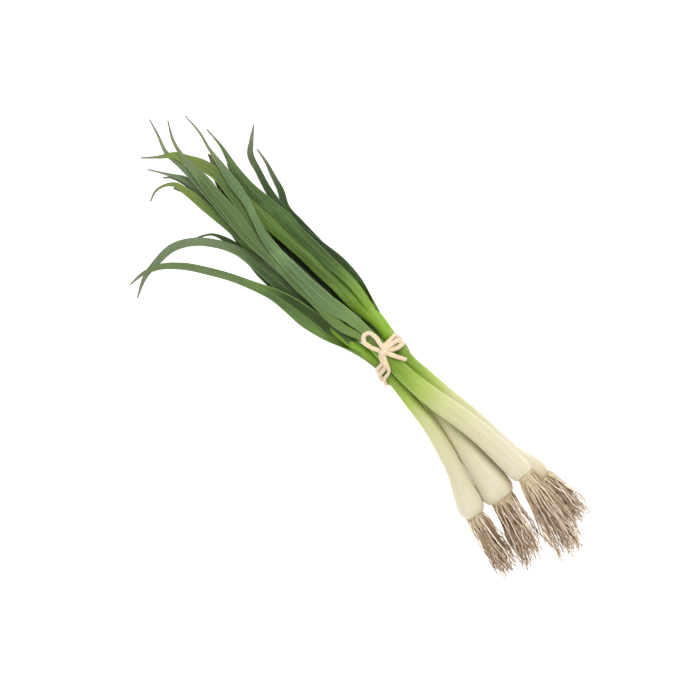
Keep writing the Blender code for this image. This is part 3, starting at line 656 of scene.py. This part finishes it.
def make_leaf(number, leaf, finish):
    """A blade with a top and an underside, thin at its margins. Its tone is the painted shade in its hollow.
    """
    draw = random.Random(number)
    middle, share = leaf_surface(leaf, LEAF_ROWS, LEAF_COLUMNS, draw)
    normals = unit(np.cross(np.gradient(middle, axis=0), np.gradient(middle, axis=1)))
    places = np.abs(np.linspace(-1, 1, LEAF_COLUMNS))
    thickness = RIB_THICKNESS + (EDGE_THICKNESS - RIB_THICKNESS) * places**EDGE_THINNING
    shift = normals * (thickness / 2)[None, :, None]
    top, bottom = (middle + shift).reshape(-1, 3), (middle - shift).reshape(-1, 3)
    bottom[:, 2] = np.maximum(bottom[:, 2], LEAF_LOWEST)
    top[:, 2] = np.maximum(top[:, 2], LEAF_LOWEST + EDGE_THICKNESS)
    under = LEAF_ROWS * LEAF_COLUMNS
    faces = []
    for i in range(LEAF_ROWS - 1):
        for j in range(LEAF_COLUMNS - 1):
            a, b = i * LEAF_COLUMNS + j, (i + 1) * LEAF_COLUMNS + j
            faces.append((a, b, b + 1, a + 1))
            faces.append((under + a, under + a + 1, under + b + 1, under + b))
        for j, turned in ((0, True), (LEAF_COLUMNS - 1, False)):
            a, b = i * LEAF_COLUMNS + j, (i + 1) * LEAF_COLUMNS + j
            edge = (a, b, under + b, under + a)
            faces.append(tuple(reversed(edge)) if turned else edge)
    for i, turned in ((0, False), (LEAF_ROWS - 1, True)):
        for j in range(LEAF_COLUMNS - 1):
            a = i * LEAF_COLUMNS + j
            edge = (a, a + 1, under + a + 1, under + a)
            faces.append(tuple(reversed(edge)) if turned else edge)
    place = np.linspace(0, 1, LEAF_COLUMNS)
    uv = np.stack(np.broadcast_arrays(place[None, :], share[:, None]), axis=2).reshape(-1, 2)
    deepest, opens, closes = PAINTED_HOLLOW_SHADE.get(number, (0.0, 0.0, 1.0))
    starting = smooth_step(opens - HOLLOW_STARTS_IN, opens + HOLLOW_STARTS_IN, share)
    ending = smooth_step(closes + HOLLOW_ENDS_IN, closes - HOLLOW_ENDS_IN, share)
    starts, full, thins, ends = HOLLOW_ACROSS
    shaded_side = smooth_step(ends, thins, place) * smooth_step(starts, full, place)
    hollow = deepest * (starting * ending)[:, None] * shaded_side[None, :]
    tone = np.concatenate([hollow.ravel(), np.zeros(under)])
    onion = leaf[0]
    add_piece(f"leaf_{onion}_{number}", np.vstack([top, bottom]), faces, finish,
              f"onion_{onion}_leafy_stem", uv=np.vstack([uv, uv]), tone=tone)


def make_shank(onion, finish):
    """The bulb and the rolled sheaths above it, each turn of which ends in a fine raised edge."""
    path = SHANK_PATHS[onion][::2]
    rings, sides = len(path), SHANK_SIDES
    draw = random.Random(onion)
    tangents = unit(np.gradient(path[:, :3], axis=0))
    side = unit(np.cross((0, 0, 1), tangents))
    up = np.cross(tangents, side)
    length = lengths_along(path)
    angles = FULL_TURN * (np.arange(sides) + 0.5) / sides
    lumps = [(draw.uniform(0.03, 0.07), draw.randint(2, 5), draw.uniform(*ANY_PHASE)) for _ in range(3)]
    seams = [(draw.uniform(*ANY_PHASE), draw.uniform(-0.006, 0.006)) for _ in range(2)]
    points, uv = [], []
    for i in range(rings):
        radius = np.full(sides, path[i, 3])
        for size, count, phase in lumps:
            lump = np.sin(count * angles + phase + length[i] / SHANK_LUMP_DRIFT)
            radius = radius * (1 + size * SHANK_LUMPINESS * lump)
        for start, slope in seams:
            turned = ((angles - start - slope * length[i]) / FULL_TURN) % 1.0
            step = SEAM_HEIGHT * smooth_step(0.02, 0.1, turned) * smooth_step(1.0, 0.1, turned)
            radius = radius - SEAM_SUNK + step
        radius = radius * (1 + RIB_DEPTH * np.sin(RIBS * angles) * min(1, length[i] / RIBS_FROM))
        ring = path[i, :3] + radius[:, None] * (
            np.sin(angles)[:, None] * side[i] + np.cos(angles)[:, None] * up[i]
        )
        points.append(ring)
        colour_place = (path[i, 0] - SHANK_COLOUR_START) / SHANK_COLOUR_STEP
        uv.append(np.column_stack([angles / FULL_TURN, np.full(sides, colour_place)]))
    points = np.vstack(points)
    points[:, 2] = np.maximum(points[:, 2], 0)
    add_piece(f"shank_{onion}", points, ring_faces(rings, sides), finish,
              f"onion_{onion}_leafy_stem", uv=np.vstack(uv))


def root_end(onion):
    """The bulb's root end: its centre, radius, and the directions outward, across and up there."""
    path = SHANK_PATHS[onion]
    outward = unit(path[0, :3] - path[ROOT_END_SAMPLES, :3])
    side = unit(np.cross((0, 0, 1), -outward))
    return path[0, :3], path[0, 3], outward, side, np.cross(-outward, side)


def make_plate(onion, finish):
    """The lumpy disc under the bulb, from which the roots grow."""
    centre, bulb_radius, outward, side, up = root_end(onion)
    points = []
    draw = random.Random(onion + "plate")
    lumps = [draw.uniform(-0.05, 0.02) for _ in range(PLATE_SIDES)]
    for depth, share in PLATE_PROFILE:
        for k in range(PLATE_SIDES):
            angle = FULL_TURN * k / PLATE_SIDES
            radius = bulb_radius * (share + lumps[k] * depth / 3)
            around = math.sin(angle) * side + math.cos(angle) * up
            points.append(centre + outward * (GAP + depth) + radius * around)
    faces = [tuple(reversed(face)) for face in ring_faces(len(PLATE_PROFILE), PLATE_SIDES)]
    add_piece(f"plate_{onion}", points, faces, finish, f"onion_{onion}_roots")


def root_curve(onion, number, clump, draw):
    """One root's points, and their share of the tuft's length. It waves, and bends to its clump's place.

    Roots start evenly over the plate: each is a golden angle further round than the one before.
    """
    centre, bulb_radius, outward, side, up = root_end(onion)
    start = centre + outward * (GAP + ROOT_START)
    end, half_width, half_height = TUFTS[onion]
    reach = math.sqrt((number + 0.5) / ROOTS_PER_TUFT)
    turn = number * GOLDEN_ANGLE
    clump_reach, clump_turn, clump_stop = clump
    on_plate = bulb_radius * ROOT_RING * reach * (math.cos(turn) * side + math.sin(turn) * up)
    pulled = np.array((math.cos(turn), math.sin(turn))) * reach * ROOT_OWN_PULL
    pulled += np.array((math.cos(clump_turn), math.sin(clump_turn))) * clump_reach * ROOT_CLUMP_PULL
    at_end = np.array((0, half_width * pulled[0], half_height * pulled[1]))
    stop = min(1.0, clump_stop * draw.uniform(0.86, 1.06))
    share = np.linspace(0, stop, ROOT_POINTS)
    opening = (share**ROOT_SPREAD)[:, None]
    curve = start + (np.array(end, float) - start) * share[:, None]
    curve = curve + on_plate * (1 - opening) + at_end * opening
    for size, waves in ROOT_WAVES:
        for axis in (0, 1, 2):
            amount = size * draw.uniform(0.3, 1.0) * (0.5 if axis == 0 else 1.0)
            phase, count = draw.uniform(*ANY_PHASE), waves * draw.uniform(0.7, 1.3)
            wave = np.sin(share * count * FULL_TURN + phase) - math.sin(phase)
            curve[:, axis] += amount * wave * share**0.7
    curve[1:, 2] = np.maximum(curve[1:, 2], ROOT_LOWEST)
    return curve, share


def make_tuft(onion, finish):
    """Fine roots from the plate, waving and clumping out to the tuft's end. A root's tone is its shade."""
    draw = random.Random(onion + "roots")
    angles = FULL_TURN * np.arange(ROOT_SIDES) / ROOT_SIDES
    points, faces, uv, tone = [], [], [], []
    clumps = {}
    for number in range(ROOTS_PER_TUFT):
        group = number * 7 % (ROOTS_PER_TUFT // ROOTS_PER_CLUMP)
        if group not in clumps:
            reach, turn = math.sqrt(draw.uniform(0.02, 1.0)), draw.uniform(*ANY_PHASE)
            clumps[group] = (reach, turn, draw.uniform(0.70, 1.04))
        curve, share = root_curve(onion, number, clumps[group], draw)
        radius = draw.uniform(*ROOT_RADIUS) * (1 - ROOT_TAPER * (share / share[-1]) ** 1.5)
        tangents = unit(np.gradient(curve, axis=0))
        side = unit(np.cross((0, 0, 1), tangents))
        up = np.cross(tangents, side)
        ring = curve[:, None, :] + radius[:, None, None] * (
            np.sin(angles)[None, :, None] * side[:, None, :] + np.cos(angles)[None, :, None] * up[:, None, :]
        )
        faces += ring_faces(ROOT_POINTS, ROOT_SIDES, number * ROOT_POINTS * ROOT_SIDES)
        points.append(ring.reshape(-1, 3))
        uv.append(np.column_stack([np.tile(angles, ROOT_POINTS), np.repeat(share, ROOT_SIDES)]))
        tone.append(np.full(ROOT_POINTS * ROOT_SIDES, min(1, max(0, draw.gauss(0.50, 0.42)))))
    add_piece(f"root_tuft_{onion}", np.vstack(points), faces, finish, f"onion_{onion}_roots",
              uv=np.vstack(uv), tone=np.concatenate(tone))


def cord_mesh(name, path, finish, closed=False, half_width=CORD_HALF_WIDTH):
    """A flat cord of pleated paper along a path. Its tone is painted shade: low in the pleats, high on their
    ridges.
    """
    if closed:
        ends = path[[-1, *range(len(path)), 0]]
        tangents = unit(ends[2:] - ends[:-2])
    else:
        tangents = unit(np.gradient(path, axis=0))
    level = (1, 0, 0) if closed else (0, 0, 1)
    side = unit(np.cross(level, tangents))
    up = np.cross(tangents, side)
    wide, thin = (up, side) if closed else (side, up)
    length = lengths_along(path)
    turns = np.zeros(len(path)) if closed else FULL_TURN * length / CORD_TWIST
    angles = FULL_TURN * (np.arange(CORD_SIDES) + 0.5) / CORD_SIDES
    draw = random.Random(name)
    wrinkles = [(draw.randint(3, 9), draw.uniform(1.5, 5.0), draw.uniform(*ANY_PHASE)) for _ in range(5)]
    points, tone, uv = [], [], []
    for i in range(len(path)):
        pleats = np.cos(angles * CORD_PLEATS - turns[i] * CORD_PLEATS)
        ridge = sum(np.sin(count * angles + length[i] / reach + phase) for count, reach, phase in wrinkles)
        size = CORD_SIZE + PLEAT_DEPTH * pleats + WRINKLE_DEPTH * ridge
        broad = half_width * (1 + CORD_SWELL * math.sin(length[i] / CORD_SWELL_REACH + wrinkles[0][2]))
        ring = path[i] + size[:, None] * (
            broad * np.sin(angles)[:, None] * wide[i] + CORD_HALF_HEIGHT * np.cos(angles)[:, None] * thin[i]
        )
        points.append(ring)
        # painted shade: darker in the pleats and wrinkles, paler on their ridges
        tone.append(np.clip(0.5 + 0.28 * pleats + 0.14 * ridge, 0, 1))
        uv.append(np.column_stack([angles / FULL_TURN, np.full(CORD_SIDES, length[i] / 10)]))
    faces = ring_faces(len(path), CORD_SIDES, closed=closed)
    if closed:
        faces = [tuple(reversed(face)) for face in faces]
    add_piece(name, np.vstack(points), faces, finish, "twine_tie",
              uv=np.vstack(uv), tone=np.concatenate(tone))


def wrap_point(x, turn, lift):
    """A point round the bunch, turned from the top towards +y, a gap and lift outside the shanks' hull."""
    out = np.array((0, math.sin(turn), math.cos(turn)))
    stems = [shank_at(onion, x) for onion in SHANKS]
    stem = max(stems, key=lambda stem: stem[1] * out[1] + stem[2] * out[2] + stem[3])
    return np.array((x, stem[1], stem[2])) + out * (stem[3] + GAP + lift)


def band_path(top):
    """A turn of cord pulled tight round the four shanks, leaning along the bunch as it goes round."""
    points = []
    for k in range(BAND_STEPS):
        turn = FULL_TURN * k / BAND_STEPS
        x = top - BAND_LEAN_BELOW * (1 - math.cos(turn)) - BAND_LEAN_ASIDE * math.sin(turn)
        points.append(wrap_point(x, turn, CORD_HALF_HEIGHT))
    whole_turn = np.vstack([points, points[:1]])
    return evenly_spaced(whole_turn, np.linspace(0, 1, BAND_STEPS, endpoint=False))


def make_knot(finish):
    """Short turns of the cord drawn tight over each other where the bow is tied."""
    centre = np.array(KNOT)
    half_x, half_y, half_z = KNOT_HALF_SIZE
    for number, (lean, size, rise) in enumerate(KNOT_TURNS):
        route = []
        for k in range(KNOT_STEPS):
            angle = FULL_TURN * k / KNOT_STEPS
            y = (half_y * size - 0.6) * math.sin(angle)
            z = (half_z * size - 0.4) * math.cos(angle)
            x = 0.5 * math.sin(2 * angle)
            turned = (x * math.cos(lean) - y * math.sin(lean), x * math.sin(lean) + y * math.cos(lean))
            route.append(centre + (turned[0] * half_x / half_y, turned[1], z + rise - 0.3))
        cord_mesh(f"twine_knot_{number}", np.array(route), finish, closed=True, half_width=KNOT_HALF_WIDTH)


def make_twine():
    finish = twine_finish()
    for number, top in enumerate(BAND_TOPS):
        cord_mesh(f"twine_band_{number}", band_path(top), finish, closed=True)
    for name, route in BOW.items():
        cord_mesh(f"twine_{name}", smooth_path(route, BOW_STEPS[name]), finish)
    for name, route in HANGING_ENDS.items():
        points = [wrap_point(x, math.radians(turn), lift) for x, turn, lift in route]
        cord_mesh(f"twine_{name}", smooth_path(points, HANGING_STEPS), finish, half_width=HANGING_HALF_WIDTH)
    make_knot(finish)


def make_onions():
    greens = {name: leaf_finish("leaf_" + name, tones) for name, tones in GREENS.items()}
    for number, (leaf, green) in enumerate(zip(LEAVES, LEAF_GREENS, strict=True), 1):
        make_leaf(number, leaf, greens[green])
    skin, cork, fibre = shank_finish(), plate_finish(), root_finish()
    for onion in SHANKS:
        make_shank(onion, skin)
        make_plate(onion, cork)
        make_tuft(onion, fibre)


def add_camera():
    """Straight above, turned so that the roots point to the lower right."""
    camera = bpy.data.objects.new("camera", bpy.data.cameras.new("camera"))
    camera.data.sensor_width = SENSOR_WIDTH
    camera.data.lens = SENSOR_WIDTH * (CAMERA_HEIGHT - BUNCH_HEIGHT * MM) / (VIEW_WIDTH * MM)
    x, y = (VIEW_MIDDLE[0] - ORIGIN_X) * MM, (VIEW_MIDDLE[1] - ORIGIN_Y) * MM
    camera.location = (x, y, CAMERA_HEIGHT)
    camera.rotation_euler = (0, 0, math.radians(VIEW_TURN))
    bpy.context.scene.collection.objects.link(camera)
    bpy.context.scene.camera = camera


def add_light(name, size, place, power):
    """A square light that points at the bunch."""
    light = bpy.data.objects.new(name, bpy.data.lights.new(name, "AREA"))
    light.data.size = size
    light.data.energy = power
    light.location = place
    x, y, z = place
    light.rotation_euler = (math.atan2(math.hypot(x, y), z), 0, math.atan2(-y, -x) - math.pi / 2)
    bpy.context.scene.collection.objects.link(light)


def add_studio():
    """A bright floor, as on a light table, and soft light, stronger from the side of the highlights."""
    bpy.ops.mesh.primitive_plane_add(size=FLOOR_SIZE, location=(0, 0, FLOOR_HEIGHT))
    floor = bpy.context.object
    floor.name = "floor"
    paper = Finish("floor_paper", roughness=0.9, specular=0.1, Emission_Color=(1, 1, 1, 1),
                   Emission_Strength=FLOOR_GLOW)
    grain = paper.noise(paper.place(), 90.0, 2.0)
    floor.data.materials.append(paper.colour(paper.blend(grain, (0.90, 0.90, 0.90), (0.92, 0.92, 0.92))))
    add_light("key", *KEY)
    add_light("fill", *FILL)
    world = bpy.data.worlds.new("studio")
    world.use_nodes = True
    sky = world.node_tree.nodes["Background"]
    sky.inputs["Color"].default_value = (1, 1, 1, 1)
    sky.inputs["Strength"].default_value = SKY_STRENGTH
    bpy.context.scene.world = world
    bpy.context.scene.view_settings.view_transform = "Standard"


add_camera()
add_studio()
make_onions()
make_twine()
